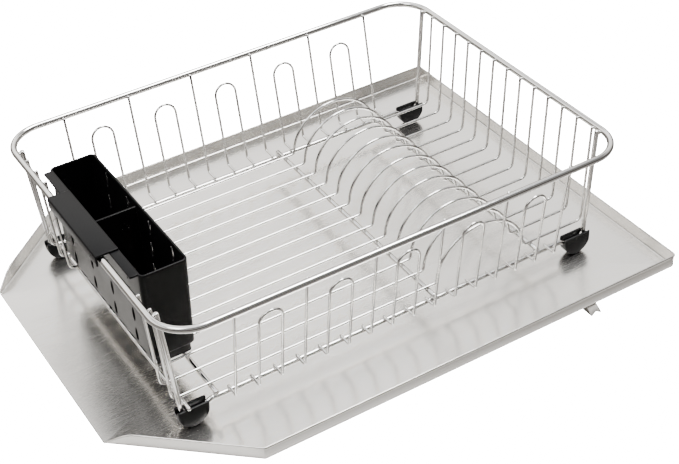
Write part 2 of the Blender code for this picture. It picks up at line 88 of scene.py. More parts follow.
# Sizes of the cutlery holder
HOLDER_WALL = 2 * MM
HOLDER_FLOOR = 2.2 * MM
HOLDER_CORNER = 5 * MM
HOLDER_TAPER = 2.5 * MM
HOLDER_WIDTH = 43.5 * MM
HOLDER_OUTER = 211 * MM                 # its outer wall, left of the basket's middle
HOLDER_TOP = 103.5 * MM                 # above the floor wires
HOLDER_ROUND = 0.7 * MM                 # of its upper edge
STEP_HEIGHT = 11 * MM
STEP_INSET = 3.5 * MM
DIVIDER_DROP = 2.5 * MM
LIP_WIDTH, LIP_THICKNESS = 7 * MM, 2.4 * MM
HOOK_LENGTH, HOOK_WALL, HOOK_DROP, HOOK_CLEARANCE = 101 * MM, 2 * MM, 5 * MM, 0.4 * MM
SLOT_SIZE = (5 * MM, 15 * MM)
SLOT_COLUMNS, SLOT_COLUMN_PITCH = 4, 43.6 * MM
SLOT_ROWS, SLOT_ROW_PITCH, SLOT_FIRST_ROW = 4, 23 * MM, 19 * MM
DRAIN_DIA, DRAIN_PITCH, DRAINS = 6 * MM, 22 * MM, (-3, -2, -1, 1, 2, 3)

# Points are first matched on a grid this fine, and then joined where they are nearer than the second size
SAME_KEY, SAME_POINT = 0.0001 * MM, 0.002 * MM

# Looks of the materials: noise scales per metre, and the colour of heated steel, which also serves as painted
# shade on the tray's folds and walls
CLOUD_SCALE, SPOT_SCALE, WAVE_SCALE, FLOW_SCALE = 9.0, 140.0, 22.0, 24.0
SCUFF_STRETCH = (90, 90, 700)
HEAT_AND_SHADE_TINT = (0.20, 0.165, 0.135, 1)

# Studio
PAPER_TONE, TABLE_TONE = (0.88, 0.87, 0.85, 1), (0.16, 0.15, 0.14, 1)
PAPER_EDGE = 12 * MM                    # how far the white paper reaches past the rack
FLOOR_GLOW = 30.0
SKY_BANDS = [(0.0, (0.020, 0.018, 0.016)), (0.2, (0.05, 0.046, 0.042)), (0.36, (0.46, 0.445, 0.425)),
             (0.6, (0.82, 0.81, 0.795)), (0.76, (0.22, 0.22, 0.22)), (0.88, (0.75, 0.76, 0.78)),
             (1.0, (0.9, 0.9, 0.92))]   # height of a sky direction from the ground up, and its colour
SKY_FRONT, SKY_BACK, SKY_RIGHT = 0.55, 3.4, 0.74
LAMP_SIZE = 0.6
LAMPS = [("key light", (0.42, 0.05, 1.5), 32.0), ("fill light", (-0.9, -0.3, 1.5), 9.0)]
LENS, SENSOR = 76.757, 36               # mm
CAMERA_PLACE = (-0.53573, -0.95683, 0.84427)
CAMERA_TURN = (-30.672, 36.387, -1.827)  # azimuth, elevation and roll, degrees

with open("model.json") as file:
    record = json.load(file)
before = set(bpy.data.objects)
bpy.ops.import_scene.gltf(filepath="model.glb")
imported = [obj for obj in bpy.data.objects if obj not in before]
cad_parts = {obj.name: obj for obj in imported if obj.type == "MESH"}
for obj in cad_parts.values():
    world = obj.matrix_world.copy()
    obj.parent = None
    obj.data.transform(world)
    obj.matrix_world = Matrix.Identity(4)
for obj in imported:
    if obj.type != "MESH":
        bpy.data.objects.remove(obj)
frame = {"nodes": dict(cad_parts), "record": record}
cad_low, cad_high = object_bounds()

# The tray's slope, from the way the holder lifts, and the turn that tips a level point by it
joints = frame["record"]["behaviour"]["joints"]
lift = next(joint["axis"] for joint in joints if joint["name"] == "holder_lift")
SLOPE = math.atan2(-lift[0], lift[2])
TIP = np.array([[math.cos(SLOPE), 0, -math.sin(SLOPE)], [0, 1, 0], [math.sin(SLOPE), 0, math.cos(SLOPE)]])


def level_box(node):
    """Lowest and highest corner of a CAD node as it lies in the level rack."""
    points = np.array([v.co for v in frame["nodes"][node].data.vertices], float) @ TIP
    return points.min(0), points.max(0)


# ---- surfaces from numbers

def mesh_from(name, points, faces, heat=None):
    """One mesh object from level points and faces, tipped by the tray's slope. Points that lie on each other
    are joined, which closes seams and poles, and the faces are then turned outward."""
    points = np.asarray(points, float) @ TIP.T
    keys = np.round(points / SAME_KEY).astype(np.int64)
    _, first, where = np.unique(keys, axis=0, return_index=True, return_inverse=True)
    where = where.reshape(-1)
    clean = []
    for face in faces:
        ring = []
        for index in where[np.asarray(face)]:
            if not ring or ring[-1] != index:
                ring.append(int(index))
        if len(ring) > 1 and ring[0] == ring[-1]:
            ring.pop()
        if len(ring) > 2 and len(set(ring)) == len(ring):
            clean.append(ring)
    name = name.replace(" ", "_")
    mesh = bpy.data.meshes.new(name)
    mesh.from_pydata(points[first].tolist(), [], clean)
    mesh.validate()
    if heat is not None:
        write_heat_and_shade(mesh, np.asarray(heat, float)[first])
    work = bmesh.new()
    work.from_mesh(mesh)
    bmesh.ops.remove_doubles(work, verts=work.verts, dist=SAME_POINT)
    bmesh.ops.recalc_face_normals(work, faces=work.faces)
    work.to_mesh(mesh)
    work.free()
    mesh.polygons.foreach_set("use_smooth", np.ones(len(mesh.polygons), bool))
    mesh.update()
    return in_scene(name, mesh)


def write_heat_and_shade(mesh, values):
    """Stores the strength of the brown tint at each point: heated steel beside the welds, painted shade on
    the tray.
    """
    mesh.attributes.new("heat", "FLOAT", "POINT").data.foreach_set("value", values)


def in_scene(name, data):
    """A new object in the scene that holds the given mesh, lamp or camera."""
    obj = bpy.data.objects.new(name, data)
    bpy.context.scene.collection.objects.link(obj)
    return obj


class Shell:
    """Gathers grids of points and loose faces into one surface."""

    def __init__(self):
        self.points, self.faces, self.count = [], [], 0

    def add(self, points, faces):
        """Points, and faces that number them from 0."""
        self.faces += [[self.count + int(i) for i in face] for face in faces]
        self.points.append(np.asarray(points, float).reshape(-1, 3))
        self.count += len(self.points[-1])

    def grid(self, points, wrap_rows=False, wrap_columns=True, capped=False):
        """Quads between the neighbours of a grid of points; capped fills the first and the last row."""
        rows, columns = points.shape[:2]
        r = np.arange(rows if wrap_rows else rows - 1)
        c = np.arange(columns if wrap_columns else columns - 1)
        r, c = (a.reshape(-1) for a in np.meshgrid(r, c, indexing="ij"))
        r2, c2 = (r + 1) % rows, (c + 1) % columns
        quads = [r * columns + c, r * columns + c2, r2 * columns + c2, r2 * columns + c]
        ends = [range(columns), range((rows - 1) * columns, rows * columns)] if capped else []
        self.add(points, np.stack(quads, 1).tolist() + ends)

    def finish(self, name, heat=None):
        return mesh_from(name, np.concatenate(self.points), self.faces, heat)


def unit(vectors):
    """The vectors at length one."""
    return vectors / np.linalg.norm(vectors, axis=-1, keepdims=True)


def bent_path(corners, radii, steps=7):
    """Straight runs joined by arcs: each corner becomes the arc of its radius that touches both runs."""
    corners = [np.array(c, float) for c in corners]
    radii = [radii] * (len(corners) - 2) if np.isscalar(radii) else radii
    path = [corners[0]]
    for before, corner, after, radius in zip(corners, corners[1:], corners[2:], radii):
        back, ahead = before - corner, after - corner
        room = 0.49 * min(np.linalg.norm(back), np.linalg.norm(ahead))
        back, ahead = unit(back), unit(ahead)
        half = math.acos(np.clip(back @ ahead, -1, 1)) / 2
        if math.pi / 2 - half < 0.02:
            path.append(corner)
            continue
        reach = min(radius / math.tan(half), room)
        bend = reach * math.tan(half)
        middle = corner + unit(back + ahead) * bend / math.sin(half)
        a, b = corner + back * reach - middle, corner + ahead * reach - middle
        turn = math.acos(np.clip(a @ b / bend ** 2, -1, 1))
        for k in range(steps + 1):
            t = k / steps
            path.append(middle + (math.sin((1 - t) * turn) * a + math.sin(t * turn) * b) / math.sin(turn))
    path.append(corners[-1])
    return np.array(path)


def spaced(path, longest):
    """Adds points on long straight runs so that no step is longer than the given length."""
    out = [path[0]]
    for a, b in zip(path, path[1:]):
        pieces = max(1, math.ceil(np.linalg.norm(b - a) / longest))
        out += [a + (b - a) * k / pieces for k in range(1, pieces + 1)]
    return np.array(out)


def carried_frames(path, closed=False):
    """Directions across a path, carried along it: each step makes the smallest turn that follows the path."""
    ahead = np.roll(path, -1, 0) - path if closed else np.gradient(path, axis=0)
    back = path - np.roll(path, 1, 0) if closed else ahead
    along = unit(ahead)
    if closed:
        along = unit(along + unit(back))
    start = np.array([0, 0, 1.0]) if abs(along[0][2]) < 0.9 else np.array([0, 1.0, 0])
    side = np.zeros_like(path)
    side[0] = unit(np.cross(along[0], start))
    for k in range(1, len(path)):
        side[k] = unit(side[k - 1] - along[k] * (side[k - 1] @ along[k]))
    return along, side, np.cross(along, side)


def add_tube(shell, path, radius, sides=14, closed=False, step=9 * MM):
    """A wire: point (s, a) is path(s) + radius * (cos a * side(s) + sin a * up(s)), with domed ends."""
    path = spaced(np.asarray(path, float), step)
    along, side, up = carried_frames(path, closed)
    angle = np.arange(sides) * TAU / sides
    circle = np.cos(angle)[None, :, None] * side[:, None] + np.sin(angle)[None, :, None] * up[:, None]
    rings = path[:, None] + radius * circle
    if closed:
        shell.grid(rings, wrap_rows=True)
        return
    dome = np.linspace(0, math.pi / 2, 5)[1:]
    height = radius * DOME_HEIGHT
    spread = np.cos(dome)[:, None, None] * radius
    rise = np.sin(dome)[:, None, None] * height
    first, last = rings[0] + along[0] * height, rings[-1] - along[-1] * height
    nose = path[0] + along[0] * height + spread * circle[0] - rise * along[0]
    tail = path[-1] - along[-1] * height + spread * circle[-1] + rise * along[-1]
    shell.grid(np.concatenate([nose[::-1], first[None], rings[1:-1], last[None], tail]))


def add_bead(shell, place, size):
    """A weld's bead: a small ellipsoid, point (u, v) = place + size * (cos u sin v, sin u sin v, cos v)."""
    u, v = np.meshgrid(np.arange(8) * TAU / 8, np.linspace(0, math.pi, 6))
    ball = np.stack([np.cos(u) * np.sin(v), np.sin(u) * np.sin(v), np.cos(v)], 2)
    shell.grid(np.asarray(place) + np.array(size) * ball)


def add_prism(shell, outline, axis, start, end, edge, steps=3):
    """A rounded slab: a flat outline carried along an axis. Where it is
    edge * (1 - cos t) away from an end's face it is drawn in by edge * (1 - sin t), a quarter round."""
    outline = np.asarray(outline, float)
    mean = unit(np.roll(outline, -1, 0) - outline) + unit(outline - np.roll(outline, 1, 0))
    inward = np.stack([-mean[:, 1], mean[:, 0]], 1)
    x, y = outline.T
    area = 0.5 * np.sum(x * np.roll(y, -1) - np.roll(x, -1) * y)
    inward *= np.sign(area) / np.maximum(np.einsum("ij,ij->i", inward, inward), 0.6)[:, None] * 2
    t = np.linspace(0, math.pi / 2, steps + 1)
    draw = edge * (1 - np.sin(t))
    run = edge * (1 - np.cos(t))
    sign = 1 if end > start else -1
    layers = [(start + sign * r, d) for r, d in zip(run, draw)]
    layers += [(end - sign * r, d) for r, d in zip(run[::-1], draw[::-1])]
    rings = [np.insert(outline + inward * drawn / 2, axis, place, axis=1) for place, drawn in layers]
    shell.grid(np.array(rings), capped=True)


def rounded_outline(corners, radii, steps=5):
    """A closed flat outline whose corners are arcs."""
    corners = [np.array([*c, 0.0]) for c in corners]
    radii = [radii] * len(corners) if np.isscalar(radii) else list(radii)
    n = len(corners)
    points = []
    for k in range(n):
        points.append(bent_path([corners[k - 1], corners[k], corners[(k + 1) % n]], [radii[k]], steps)[1:-1])
    return np.concatenate(points)[:, :2]


def pairs(values):
    """Each value with the next one."""
    return list(zip(values, values[1:]))


# ---- materials

def node(tree, kind, **settings):
    """A new shader node, set out in rows of eight in the order of making."""
    made = tree.nodes.new(kind)
    row, column = divmod(len(tree.nodes), 8)
    made.location = (column * 220, -row * 320)
    for key, value in settings.items():
        setattr(made, key, value)
    return made


def feed(tree, target, source):
    """Sets a socket to a number or colour, or links it to another socket."""
    if isinstance(source, bpy.types.NodeSocket):
        tree.links.new(source, target)
    else:
        target.default_value = source


def maths(tree, operation, a, b=0.0, c=0.0, clamp=False):
    made = node(tree, "ShaderNodeMath", operation=operation, use_clamp=clamp)
    for socket, value in zip(made.inputs, (a, b, c)):
        feed(tree, socket, value)
    return made.outputs[0]


def ranged(tree, value, low, high, to_low, to_high):
    made = node(tree, "ShaderNodeMapRange", clamp=True)
    keys = ("Value", "From Min", "From Max", "To Min", "To Max")
    for key, source in zip(keys, (value, low, high, to_low, to_high)):
        feed(tree, made.inputs[key], source)
    return made.outputs["Result"]


def mixed(tree, share, a, b):
    made = node(tree, "ShaderNodeMix", data_type="RGBA")
    feed(tree, made.inputs["Factor"], share)
    feed(tree, made.inputs["A"], a)
    feed(tree, made.inputs["B"], b)
    return made.outputs["Result"]


def noise(tree, vector, scale, detail=2.0, roughness=0.5):
    made = node(tree, "ShaderNodeTexNoise")
    feed(tree, made.inputs["Vector"], vector)
    made.inputs["Scale"].default_value = scale
    made.inputs["Detail"].default_value = detail
    made.inputs["Roughness"].default_value = roughness
    return made.outputs["Fac"]


def stretched(tree, vector, scale):
    made = node(tree, "ShaderNodeMapping")
    feed(tree, made.inputs["Vector"], vector)
    made.inputs["Scale"].default_value = scale
    return made.outputs["Vector"]


def effect_group(name, inputs):
    """An empty shared effect with the named inputs, each (kind, value), and its three outputs."""
    tree = bpy.data.node_groups.new(name, "ShaderNodeTree")
    for key, (kind, value) in inputs.items():
        socket = tree.interface.new_socket(name=key, in_out="INPUT", socket_type="NodeSocket" + kind)
        socket.default_value = value
    for key, kind in (("Colour", "Color"), ("Roughness", "Float"), ("Height", "Float")):
        tree.interface.new_socket(name=key, in_out="OUTPUT", socket_type="NodeSocket" + kind)
    given, results = node(tree, "NodeGroupInput").outputs, node(tree, "NodeGroupOutput").inputs
    return tree, given, results, node(tree, "ShaderNodeTexCoord").outputs["Object"]


def steel_group():
    """Drawn or brushed steel: fine grain along one direction, slow clouding, and a brown tint and a duller
    surface where the tint's input is strong: heated steel beside the welds, painted shade on the tray. Height
    is the grain plus slow waves of the sheet."""
    tree, given, results, place = effect_group("worked steel", {
        "Colour": ("Color", (0.8, 0.79, 0.77, 1)), "Shade": ("Color", (0.6, 0.59, 0.57, 1)),
        "Roughness": ("Float", 0.2), "Grain stretch": ("Vector", (1, 1, 1)), "Grain depth": ("Float", 0.2),
        "Wave depth": ("Float", 0.0), "Heat and shade": ("Float", 0.0)})
    stretch = node(tree, "ShaderNodeVectorMath", operation="MULTIPLY")
    feed(tree, stretch.inputs[0], place)
    feed(tree, stretch.inputs[1], given["Grain stretch"])
    grain = noise(tree, stretch.outputs["Vector"], 1.0, 3.0, 0.6)
    clouds = noise(tree, place, CLOUD_SCALE, 3.0)
    spots = noise(tree, place, SPOT_SCALE, 2.0)
    cloudy = ranged(tree, clouds, 0.35, 0.7, 0.0, 1.0)
    clean = mixed(tree, maths(tree, "MULTIPLY", cloudy, 0.35), given["Colour"], given["Shade"])
    streaked = mixed(tree, ranged(tree, grain, 0.35, 0.75, 0.0, 0.3), clean, given["Shade"])
    # Brown tint: heated steel beside the welds, and painted shade on the tray's folds, walls and under its
    # hem
    tint = maths(tree, "MULTIPLY", given["Heat and shade"], ranged(tree, spots, 0.3, 0.7, 0.35, 0.9), clamp=True)
    heated_and_shaded_colour = mixed(tree, tint, streaked, HEAT_AND_SHADE_TINT)
    rough = maths(tree, "ADD", given["Roughness"], ranged(tree, grain, 0.3, 0.7, -0.03, 0.05))
    rough = maths(tree, "ADD", rough, maths(tree, "MULTIPLY", given["Heat and shade"], 0.22))
    rough = maths(tree, "ADD", rough, ranged(tree, clouds, 0.3, 0.7, -0.02, 0.03), clamp=True)
    feed(tree, results["Colour"], heated_and_shaded_colour)
    feed(tree, results["Roughness"], rough)
    waves = maths(tree, "MULTIPLY", noise(tree, place, WAVE_SCALE, 1.5), given["Wave depth"])
    feed(tree, results["Height"], maths(tree, "MULTIPLY_ADD", grain, given["Grain depth"], waves))
    return tree


def moulded_group():
    """Moulded plastic or rubber: fine spark-eroded grain, faint flow clouding and slight scuffs."""
    tree, given, results, place = effect_group("moulded surface", {
        "Colour": ("Color", (0.02, 0.02, 0.02, 1)), "Worn colour": ("Color", (0.05, 0.05, 0.05, 1)),
        "Roughness": ("Float", 0.4), "Grain size": ("Float", 1500.0)})
    fine = node(tree, "ShaderNodeTexVoronoi")
    feed(tree, fine.inputs["Vector"], place)
    feed(tree, fine.inputs["Scale"], given["Grain size"])
    clouds = noise(tree, place, FLOW_SCALE, 3.0)
    scuffs = noise(tree, stretched(tree, place, SCUFF_STRETCH), 1.0, 2.0)
    few = ranged(tree, scuffs, 0.62, 0.78, 0.0, 0.5)
    worn = maths(tree, "MULTIPLY", few, ranged(tree, clouds, 0.45, 0.7, 0, 1))
    base = mixed(tree, ranged(tree, clouds, 0.35, 0.7, 0.0, 0.25), given["Colour"], given["Worn colour"])
    feed(tree, results["Colour"], mixed(tree, worn, base, given["Worn colour"]))
    rough = maths(tree, "ADD", given["Roughness"], ranged(tree, clouds, 0.3, 0.7, -0.04, 0.05))
    duller = maths(tree, "MULTIPLY", worn, 0.15)
    feed(tree, results["Roughness"], maths(tree, "ADD", rough, duller, clamp=True))
    feed(tree, results["Height"], fine.outputs["Distance"])
    return tree


def grouped_material(name, group, settings, metallic, bump, specular=0.5):
    """A material whose colour, roughness and bump come from one of the shared effects."""
    material = bpy.data.materials.new(name)
    material.use_nodes = True
    tree = material.node_tree
    shader = tree.nodes["Principled BSDF"]
    effect = node(tree, "ShaderNodeGroup", node_tree=group)
    for key, value in settings.items():
        effect.inputs[key].default_value = value
    if "Heat and shade" in effect.inputs:
        # The attribute carries the tint of heated steel on the wires and painted shade on the tray
        heat = node(tree, "ShaderNodeAttribute", attribute_name="heat")
        feed(tree, effect.inputs["Heat and shade"], heat.outputs["Fac"])
    feed(tree, shader.inputs["Base Color"], effect.outputs["Colour"])
    feed(tree, shader.inputs["Roughness"], effect.outputs["Roughness"])
    relief = node(tree, "ShaderNodeBump")
    feed(tree, relief.inputs["Distance"], bump)
    feed(tree, relief.inputs["Strength"], 1.0)
    feed(tree, relief.inputs["Height"], effect.outputs["Height"])
    feed(tree, shader.inputs["Normal"], relief.outputs["Normal"])
    feed(tree, shader.inputs["Metallic"], metallic)
    feed(tree, shader.inputs["Specular IOR Level"], specular)
    return material


STEEL, MOULDED = steel_group(), moulded_group()
wire_steel = grouped_material("polished wire steel", STEEL, {
    "Colour": (0.90, 0.89, 0.87, 1), "Shade": (0.66, 0.645, 0.62, 1), "Roughness": 0.08,
    "Grain stretch": (500, 500, 500), "Grain depth": 0.2}, 1.0, 0.01 * MM)
tray_steel = grouped_material("brushed tray steel", STEEL, {
    "Colour": (0.86, 0.84, 0.805, 1), "Shade": (0.70, 0.675, 0.635, 1), "Roughness": 0.23,
    "Grain stretch": (10, 1600, 1600), "Grain depth": 0.2, "Wave depth": 22.0}, 1.0, 0.005 * MM)
holder_plastic = grouped_material("black satin plastic", MOULDED, {
    "Colour": (0.0022, 0.0022, 0.0025, 1), "Worn colour": (0.006, 0.006, 0.0065, 1), "Roughness": 0.30,
    "Grain size": 1400.0}, 0.0, 0.012 * MM, 0.16)
foot_rubber = grouped_material("black moulded cap", MOULDED, {
    "Colour": (0.004, 0.004, 0.0045, 1), "Worn colour": (0.014, 0.014, 0.015, 1), "Roughness": 0.36,
    "Grain size": 1100.0}, 0.0, 0.014 * MM, 0.22)


def dress(obj, material, body, nodes):
    """Gives a finished piece its material, the body it moves with and the CAD nodes it stands for."""
    obj.data.materials.append(material)
    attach(obj, body)
    if nodes:
        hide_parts(*nodes)


def mark_heat(obj, places, reach):
    """Writes how strongly each point was heated: 1 at a weld, falling to 0 at the given reach."""
    count = len(obj.data.vertices)
    points = np.empty(count * 3)
    obj.data.vertices.foreach_get("co", points)
    points = points.reshape(-1, 3)
    heat = np.zeros(count)
    for place in np.asarray(places, float) @ TIP.T:
        away = np.linalg.norm(points - place, axis=1) / reach
        heat = np.maximum(heat, np.clip(1 - away, 0, 1) ** 2)
    write_heat_and_shade(obj.data, heat)


def soften(obj, angle=40):
    """Corners sharper than the angle, in degrees, stay sharp in the shading."""
    obj.data.set_sharp_from_angle(angle=math.radians(angle))


# ---- where the wires run

rim_low, rim_high = level_box("rim_wire")
MIDDLE_X, MIDDLE_Y, RIM_Z = (rim_low + rim_high) / 2
RIM_HALF_X, RIM_HALF_Y, _ = (rim_high - rim_low - RIM_DIA) / 2
PLATES = [f"plate_wire_{k:02d}" for k in range(1, 14)]
CROSSES = ["cross_wire_left", "cross_wire_middle", "cross_wire_right"]
cross_boxes = {name: level_box(name) for name in CROSSES}
end_low, end_high = level_box("end_wire_left")
FLOOR_Z = cross_boxes["cross_wire_left"][1][2] + WELD_GAP + THIN_DIA / 2
CROSS_Z = cross_boxes["cross_wire_left"][1][2] - FRAME_DIA / 2
RAIL_Z = CROSS_Z - FRAME_DIA - WELD_GAP
END_X, _, END_Z = (end_low + end_high) / 2
INNER_THIN = RIM_DIA / 2 + WELD_GAP + THIN_DIA / 2
INNER_FRAME = RIM_DIA / 2 + WELD_GAP + FRAME_DIA / 2
cap_low, cap_high = level_box("foot_cap_front_left")
RAIL_Y = MIDDLE_Y - (cap_low[1] + cap_high[1]) / 2
FOOT_Z = cap_high[2] - CAP_SEAT
LEG_FOOT_Z = level_box("front_upright_1")[0][2] + THIN_DIA / 2
WALL_TOP_Y = RIM_HALF_Y - INNER_THIN
heated = []                             # places of all welds


def rim_path():
    """The rim's centre line, a level rectangle with round corners."""
    corners = [(MIDDLE_X + x * RIM_HALF_X, MIDDLE_Y + y * RIM_HALF_Y)
               for x, y in ((-1, -1), (1, -1), (1, 1), (-1, 1))]
    flat = rounded_outline(corners, RIM_CORNER, 16)
    loop = np.column_stack([flat, np.full(len(flat), RIM_Z)])
    return spaced(np.vstack([loop, loop[:1]]), 10 * MM)[:-1]


def frame_path(side):
    """Leg, foot, bottom rail, foot and leg; the legs' ends lie inside the rim's end runs."""
    leg_top = RIM_HALF_X - INNER_FRAME
    leg_bottom = leg_top - (leg_top - FOOT_MIDDLE) * LEG_LEAN
    half = [(leg_top, RAIL_Y, RIM_Z + FRAME_DIA / 2), (leg_bottom, RAIL_Y, FOOT_Z + LEG_BEND),
            (FOOT_MIDDLE + FOOT_RUN / 2, RAIL_Y, FOOT_Z), (FOOT_MIDDLE - FOOT_RUN, RAIL_Y, FOOT_Z),
            (RAIL_START, RAIL_Y, RAIL_Z)]
    left = [(MIDDLE_X - x, MIDDLE_Y + side * y, z) for x, y, z in half]
    right = [(MIDDLE_X + x, MIDDLE_Y + side * y, z) for x, y, z in half[::-1]]
    return bent_path(left + right, LEG_BEND)


def plate_path(name):
    """Floor, half-ellipse arch, floor and right end wall; some wires also climb the left end."""
    low, high = level_box(name)
    y = (low[1] + high[1]) / 2
    bottom = RIM_HALF_X - INNER_THIN - WALL_LEAN
    climbs = low[0] < MIDDLE_X - RIM_HALF_X + RIM_DIA + 2 * MM
    left = [(low[0] + THIN_DIA / 2, high[2]), (MIDDLE_X - bottom, FLOOR_Z)] if climbs else [(low[0], FLOOR_Z)]
    turn = np.linspace(math.pi, 0, 33)[1:-1]
    middle, half = MIDDLE_X + (ARCH_LEFT_X + ARCH_RIGHT_X) / 2, (ARCH_RIGHT_X - ARCH_LEFT_X) / 2
    turn = turn[np.sin(turn) * ARCH_HEIGHT > ARCH_START]
    arch = [(middle + half * math.cos(a), FLOOR_Z + ARCH_HEIGHT * math.sin(a)) for a in turn]
    right = [(MIDDLE_X + bottom, FLOOR_Z), (high[0] - THIN_DIA / 2, high[2])]
    corners = left + [(MIDDLE_X + ARCH_LEFT_X, FLOOR_Z)] + arch + [(MIDDLE_X + ARCH_RIGHT_X, FLOOR_Z)] + right
    radii = [PLATE_BEND] * (len(left) - 1) + [ARCH_BEND] + [OPEN_BEND] * len(arch) + [ARCH_BEND, PLATE_BEND]
    return bent_path([(x, y, z) for x, z in corners], radii), y, climbs


def leg_points(x, side, height):
    """Foot end, bend and a point up the wall's slant at the height, of one leg."""
    share = (height - LEG_FOOT_Z) / (RIM_Z - LEG_FOOT_Z)
    places = [(RAIL_Y - LEG_OVERHANG, LEG_FOOT_Z), (WALL_FOOT_Y, LEG_FOOT_Z),
              (WALL_FOOT_Y + (WALL_TOP_Y - WALL_FOOT_Y) * share, height)]
    return [(x, MIDDLE_Y + side * y, z) for y, z in places]


def wire(name, cad_node, path, diameter, sides=14, **how):
    """One wire's piece, and the CAD node that it stands for."""
    shell = Shell()
    add_tube(shell, path, diameter / 2, sides, **how)
    return shell.finish(name), [cad_node]


def weld(beads, place, size):
    """A bead of the size, half its extent in mm each way, and the heat round it."""
    heated.append(place)
    add_bead(beads, place, np.array(size) * MM)


def weld_foot(beads, x, side):
    """The weld where a wall wire's foot crosses the rail."""
    weld(beads, (x, MIDDLE_Y + side * RAIL_Y, LEG_FOOT_Z - THIN_DIA / 2 - WELD_GAP / 2), (1.5, 1.7, 0.6))


def loop_path(low, high, side):
    """Up one leg, over a half circle that lies in the wall's slanting plane, and down the other leg."""
    left, right = low[0] + THIN_DIA / 2, high[0] - THIN_DIA / 2
    middle, radius = (left + right) / 2, (right - left) / 2
    slant = math.hypot(WALL_TOP_Y - WALL_FOOT_Y, RIM_Z - LEG_FOOT_Z) / (RIM_Z - LEG_FOOT_Z)
    spring = high[2] - THIN_DIA / 2 - radius / slant
    arc = [leg_points(middle + radius * math.cos(a), side, spring + radius / slant * math.sin(a))[2]
           for a in np.linspace(math.pi, 0, 19)[1:-1]]
    legs = [bent_path(leg_points(x, side, spring), WALL_BEND) for x in (left, right)]
    return np.vstack([legs[0], arc, legs[1][::-1]]), left, right


def build_wires():
    """All wires of the basket, one piece each, and one piece for all the beads of weld."""
    wires = [wire("rim", "rim_wire", rim_path(), RIM_DIA, 22, closed=True)]
    beads = Shell()
    for side, name in ((-1, "front"), (1, "back")):
        y = MIDDLE_Y + side * RAIL_Y
        path = frame_path(side)
        wires.append(wire(f"{name} legs and rail", f"frame_wire_{name}", path, FRAME_DIA, 18, step=12 * MM))
        for end in (-1, 1):
            x = MIDDLE_X + end * (RIM_HALF_X - RIM_DIA / 2 - WELD_GAP)
            add_bead(beads, (x, y, RIM_Z - 1 * MM), (1.4 * MM, 2.6 * MM, 2.4 * MM))
            heated.append((x, y, RIM_Z))
        for k in range(1, 7):
            low, high = level_box(f"{name}_upright_{k}")
            x = (low[0] + high[0]) / 2
            path = bent_path(leg_points(x, side, RIM_Z + THIN_DIA / 2), WALL_BEND)
            wires.append(wire(f"{name} wall wire {k}", f"{name}_upright_{k}", path, THIN_DIA))
            top_y = MIDDLE_Y + side * (RIM_HALF_Y - RIM_DIA / 2 - WELD_GAP / 2)
            weld(beads, (x, top_y, RIM_Z - TOP_WELD_DROP), (1.7, 1.1, 1.7))
            weld_foot(beads, x, side)
        for k in range(1, 6):
            path, left, right = loop_path(*level_box(f"{name}_loop_{k}"), side)
            wires.append(wire(f"{name} wall loop {k}", f"{name}_loop_{k}", path, THIN_DIA))
            weld_foot(beads, left, side)
            weld_foot(beads, right, side)
    for name in CROSSES:
        low, high = cross_boxes[name]
        x = (low[0] + high[0]) / 2
        ends = [(x, low[1], CROSS_Z), (x, high[1], CROSS_Z)]
        wires.append(wire(name, name, ends, FRAME_DIA, 16, step=25 * MM))
        for side in (-1, 1):
            weld(beads, (x, MIDDLE_Y + side * RAIL_Y, CROSS_Z - FRAME_DIA / 2), (2.6, 2.6, 0.9))
    ends = [(END_X, end_low[1], END_Z), (END_X, end_high[1], END_Z)]
    wires.append(wire("left end wire", "end_wire_left", ends, END_DIA, step=25 * MM))
    for name in PLATES:
        path, y, climbs = plate_path(name)
        wires.append(wire(name, name, path, THIN_DIA))
        under = FLOOR_Z - THIN_DIA / 2 - WELD_GAP / 2
        for low, high in cross_boxes.values():
            weld(beads, ((low[0] + high[0]) / 2, y, under), (1.5, 1.5, 0.6))
        weld(beads, (END_X, y, under), (1.3, 1.4, 0.6))
        for end in (-1, 1) if climbs else (1,):
            top_x = MIDDLE_X + end * (RIM_HALF_X - RIM_DIA / 2 - WELD_GAP / 2)
            weld(beads, (top_x, y, RIM_Z - TOP_WELD_DROP), (1.1, 1.7, 1.7))
    wires.append((beads.finish("spot welds"), []))
    for obj, nodes in wires:
        mark_heat(obj, heated, 6 * MM)
        dress(obj, wire_steel, "basket", nodes)


# ---- foot caps

def build_caps():
    """Half-moon boats: at each x the cross-section is a U whose underside follows a half ellipse."""
    lip, round_low, floor = 0.5 * MM, 1.3 * MM, 1.3 * MM
    trough = FRAME_DIA / 2 + 0.3 * MM
    end_start, end_draw = 0.93, 0.9 * MM
    for end in ("left", "right"):
        for side in ("front", "back"):
            low, high = level_box(f"foot_cap_{side}_{end}")
            (x_mid, y_mid, _), (length, width, height) = (low + high) / 2, (high - low) / 2
            top, depth = high[2], height * 2
            shoulder = depth * 0.25
            sections = []
            for s in np.sin(np.linspace(-1, 1, 41) * math.pi / 2):
                x = x_mid + s * (length - 0.1 * MM)
                under = top - shoulder - (depth - shoulder) * math.sqrt(max(0.0, 1 - s * s))
                out = width - end_draw * max(0.0, abs(s) - end_start) / (1 - end_start)
                seat = max(FOOT_Z - FRAME_DIA / 2 - 0.2 * MM, under + floor)
                half = [(out - round_low, under), (out - 0.4 * round_low, under + 0.3 * round_low),
                        (out, under + round_low), (out, top - lip), (out - lip * 0.3, top - lip * 0.3),
                        (out - lip, top), (trough + lip, top), (trough, top - lip), (trough, seat)]
                section = half + [(-a, b) for a, b in half[::-1]]
                sections.append([(x, y_mid + a, b) for a, b in section])
            shell = Shell()
            shell.grid(np.array(sections), capped=True)
            cap = shell.finish(f"{side} {end} foot cap")
            soften(cap)
            dress(cap, foot_rubber, "basket", [f"foot_cap_{side}_{end}"])


# ---- drip tray

